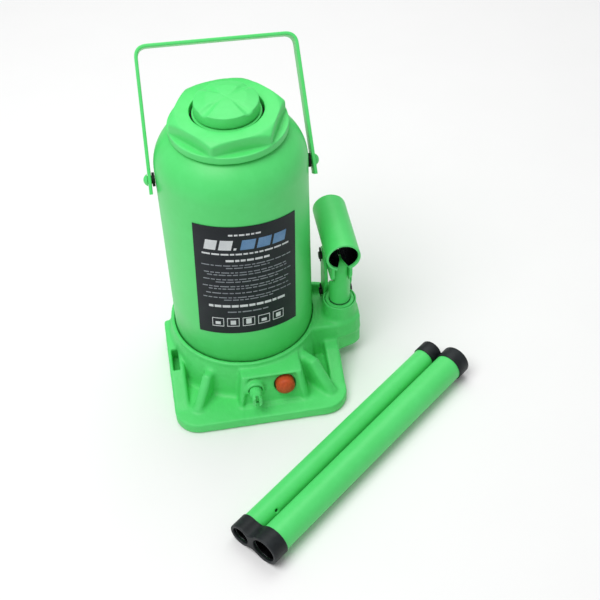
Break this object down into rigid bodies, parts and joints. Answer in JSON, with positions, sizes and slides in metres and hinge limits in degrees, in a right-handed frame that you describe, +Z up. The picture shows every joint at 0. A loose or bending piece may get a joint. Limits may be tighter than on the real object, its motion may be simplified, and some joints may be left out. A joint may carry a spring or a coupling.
{
  "type": "bottle jack",
  "caption": "Hydraulic bottle jack with extension screw, linked hand pump, carrying bail and a two-piece tubular handle lying beside it.",
  "frame": {"origin": "on the ram's axis, at the underside of the foot plate", "axes": "+Z up along the ram; -Y is the front with the release and overload valves; +X is the pump side"},
  "size_m": [0.2301, 0.2801, 0.2583],
  "materials": {
    "paint": "satin light green enamel",
    "plug": "satin orange plastic",
    "black_plastic": "moulded",
    "black_steel": "blackened",
    "steel": "machined",
    "rubber": "matte",
    "label": "printed vinyl"
  },
  "bodies": {
    "base": {"base_casting": "paint", "reservoir_tube": "paint", "reservoir_gasket": "rubber", "main_cylinder": "steel", "cylinder_gasket": "rubber", "gland_nut": "paint", "ram_seal": "rubber", "ram_wiper": "rubber", "oil_filler_plug": "rubber", "info_label": "label", "pump_cylinder": "steel", "pump_cylinder_washer": "steel", "suction_ball": "steel", "suction_plug": "steel", "discharge_plug": "steel", "discharge_spring": "steel", "discharge_ball": "steel", "link_foot_pin": "steel", "link_foot_split_pin": "black_steel", "overload_cap": "plug", "overload_adjuster": "steel", "overload_spring": "steel", "overload_spring_seat": "steel", "overload_ball": "steel", "release_ball": "steel", "bail_stud_left": "paint", "bail_spacer_left": "black_steel", "bail_stud_right": "paint", "bail_spacer_right": "black_steel"},
    "ram": {"ram": "paint", "piston_head": "steel", "piston_seal": "rubber", "piston_nut": "steel"},
    "screw_stop": {"screw_stop_ring": "steel"},
    "extension_screw": {"extension_screw": "steel", "saddle": "paint"},
    "plunger": {"pump_plunger": "paint", "plunger_seal": "rubber", "lever_pin": "steel"},
    "socket": {"handle_socket": "paint"},
    "link": {"link_plate_left": "paint", "link_plate_right": "paint", "link_top_pin": "steel", "link_top_split_pin": "black_steel"},
    "bail": {"carrying_bail": "paint"},
    "release_valve": {"release_screw": "paint", "release_screw_o_ring": "rubber"},
    "handle_pack": {"handle_tube_large": "paint", "handle_tube_small": "paint", "handle_twin_cap": "black_plastic", "handle_end_cap_large": "black_plastic", "handle_end_cap_small": "black_plastic"}
  },
  "joints": [
    {"name": "ram_lift", "type": "slide", "parent": "base", "child": "ram", "axis": [0, 0, 1], "range_m": [0, 0.15]},
    {"name": "screw_rise", "type": "slide", "parent": "ram", "child": "screw_stop", "axis": [0, 0, 1], "range_m": [0, 0.06]},
    {"name": "screw_turn", "type": "hinge", "parent": "screw_stop", "child": "extension_screw", "pos_m": [0, 0, 0.2], "axis": [0, 0, 1], "range_deg": [0, 4320]},
    {"name": "plunger_stroke", "type": "slide", "parent": "base", "child": "plunger", "axis": [0, 0, 1], "range_m": [-0.0058, 0.0098]},
    {"name": "socket_swing", "type": "hinge", "parent": "plunger", "child": "socket", "pos_m": [0.074, -0.0158, 0.0895], "axis": [1, 0, 0], "range_deg": [-32.57, 19.4]},
    {"name": "link_swing", "type": "hinge", "parent": "base", "child": "link", "pos_m": [0.074, 0.0016, 0.047], "axis": [1, 0, 0], "range_deg": [-3.62, 5.91]},
    {"name": "bail_swing", "type": "hinge", "parent": "base", "child": "bail", "pos_m": [0, 0, 0.1797], "axis": [1, 0, 0], "range_deg": [-73, 146]},
    {"name": "release_turn", "type": "hinge", "parent": "base", "child": "release_valve", "pos_m": [-0.0015, -0.07, 0.024], "axis": [0, -1, 0], "range_deg": [0, 540]},
    {"name": "pack_lift", "type": "slide", "parent": "base", "child": "handle_pack", "axis": [0, 0, 1], "range_m": [0, 0.3]}
  ],
  "couplings": [
    {"joint": "screw_turn", "follows": "screw_rise", "rad_per_m": 1256.6},
    {"joint": "socket_swing", "follows": "plunger_stroke", "rad_per_m": -57.471},
    {"joint": "link_swing", "follows": "plunger_stroke", "rad_per_m": 10}
  ]
}
